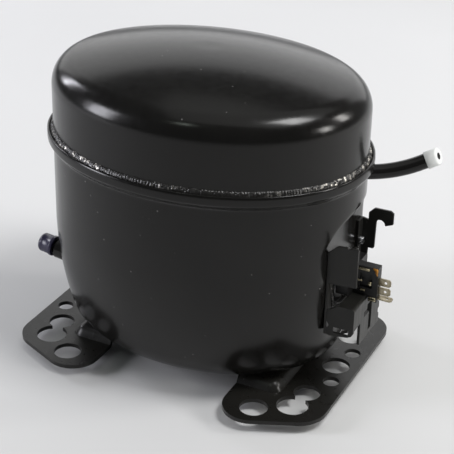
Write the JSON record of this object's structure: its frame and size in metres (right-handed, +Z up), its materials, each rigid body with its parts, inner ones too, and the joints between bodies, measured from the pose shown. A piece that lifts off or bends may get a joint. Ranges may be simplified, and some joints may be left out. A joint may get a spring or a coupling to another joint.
{
  "type": "hermetic reciprocating compressor",
  "caption": "Oval welded steel hermetic compressor on foot plates, with terminal bracket, suction and service connectors, spring-hung motor and reciprocating pump inside.",
  "frame": {"origin": "centre of the foot bolt pattern, in the plane of the foot plates' underside", "axes": "+X along the housing's long axis towards the electrical terminal, +Z up out of the feet, +Y to the side the suction connector points to"},
  "size_m": [0.2374, 0.1617, 0.199],
  "materials": {
    "housing_paint": "satin black paint",
    "weld": "painted over, rough",
    "bracket_sheet": "satin black paint",
    "cap_plastic": "soft translucent",
    "plug_plastic": "gloss",
    "device_body": "moulded",
    "tin": "tinned",
    "steel": "bare",
    "glass": "fused",
    "copper": "copper, enamelled or bare",
    "lamination": "stacked sheet",
    "cast_iron": "cast and machined",
    "aluminium": "die cast",
    "spring_steel": "polished strip",
    "gasket": "fibre sheet",
    "lead_sleeve": "woven sleeve",
    "muffler_plastic": "moulded"
  },
  "bodies": {
    "housing": {"lower_shell": "housing_paint", "upper_shell": "housing_paint", "seam_weld": "weld", "foot_plate_right": "housing_paint", "foot_plate_left": "housing_paint", "suction_tube": "housing_paint", "process_tube": "copper", "discharge_tube": "copper", "process_collar": "weld", "discharge_collar": "weld", "spring_studs": "steel", "terminal_cup": "steel", "terminal_glass": "glass", "terminal_pins": "tin", "terminal_bracket": "bracket_sheet", "cord_anchor": "bracket_sheet", "start_device": "device_body", "spade_terminals": "tin", "earth_screw": "tin", "cluster_plug": "device_body"},
    "pump_assembly": {"stator_core": "lamination", "main_winding": "copper", "start_winding": "copper", "stator_bolts": "steel", "spring_seats": "steel", "suspension_springs": "spring_steel", "motor_leads": "lead_sleeve", "discharge_loop": "steel", "crankcase": "cast_iron", "thrust_washer": "spring_steel", "valve_plate": "steel", "head_gasket": "gasket", "cylinder_head": "aluminium", "head_bolts": "steel", "valve_stop": "spring_steel", "suction_muffler": "muffler_plastic", "discharge_muffler": "steel"},
    "crankshaft": {"crankshaft": "cast_iron", "rotor_core": "lamination", "rotor_cage": "aluminium", "rotor_counterweight": "steel", "oil_pickup": "steel"},
    "connecting_rod": {"connecting_rod": "aluminium", "wrist_pin": "steel"},
    "piston": {"piston": "cast_iron"},
    "suction_reed": {"suction_reed": "spring_steel"},
    "discharge_reed": {"discharge_reed": "spring_steel"},
    "suction_cap": {"suction_cap": "cap_plastic"},
    "process_cap": {"process_cap": "plug_plastic"},
    "discharge_cap": {"discharge_cap": "plug_plastic"}
  },
  "joints": [
    {"name": "suspension_slide", "type": "slide", "parent": "housing", "child": "pump_assembly", "axis": [0, 0, 1], "range_m": [-0.003, 0.002], "stiffness_N_per_m": 30000, "springref_m": 0.00219, "deforming": ["suspension_springs", "motor_leads", "discharge_loop"]},
    {"name": "crank_spin", "type": "hinge", "parent": "pump_assembly", "child": "crankshaft", "pos_m": [-0.012, 0, 0.1], "axis": [0, 0, 1], "continuous": true},
    {"name": "big_end_pivot", "type": "hinge", "parent": "crankshaft", "child": "connecting_rod", "pos_m": [-0.02, 0, 0.147], "axis": [0, 0, 1], "continuous": true},
    {"name": "piston_slide", "type": "slide", "parent": "pump_assembly", "child": "piston", "axis": [1, 0, 0], "range_m": [0, 0.016]},
    {"name": "suction_reed_lift", "type": "hinge", "parent": "pump_assembly", "child": "suction_reed", "pos_m": [0.06505, 0.008, 0.16], "axis": [0, 1, 0], "range_deg": [0, 6], "stiffness_Nm_per_rad": 0.02},
    {"name": "discharge_reed_lift", "type": "hinge", "parent": "pump_assembly", "child": "discharge_reed", "pos_m": [0.06835, -0.008, 0.16], "axis": [0, -1, 0], "range_deg": [0, 8], "stiffness_Nm_per_rad": 0.02},
    {"name": "suction_cap_pull", "type": "slide", "parent": "housing", "child": "suction_cap", "axis": [0.8211, 0.4005, 0.4067], "range_m": [0, 0.012]},
    {"name": "process_cap_pull", "type": "slide", "parent": "housing", "child": "process_cap", "axis": [-0.9903, 0, 0.1392], "range_m": [0, 0.012]},
    {"name": "discharge_cap_pull", "type": "slide", "parent": "housing", "child": "discharge_cap", "axis": [-0.2588, 0.9659, 0], "range_m": [0, 0.012]}
  ],
  "couplings": [
    {"joint": "big_end_pivot", "follows": "crank_spin", "ratio": -1}
  ]
}
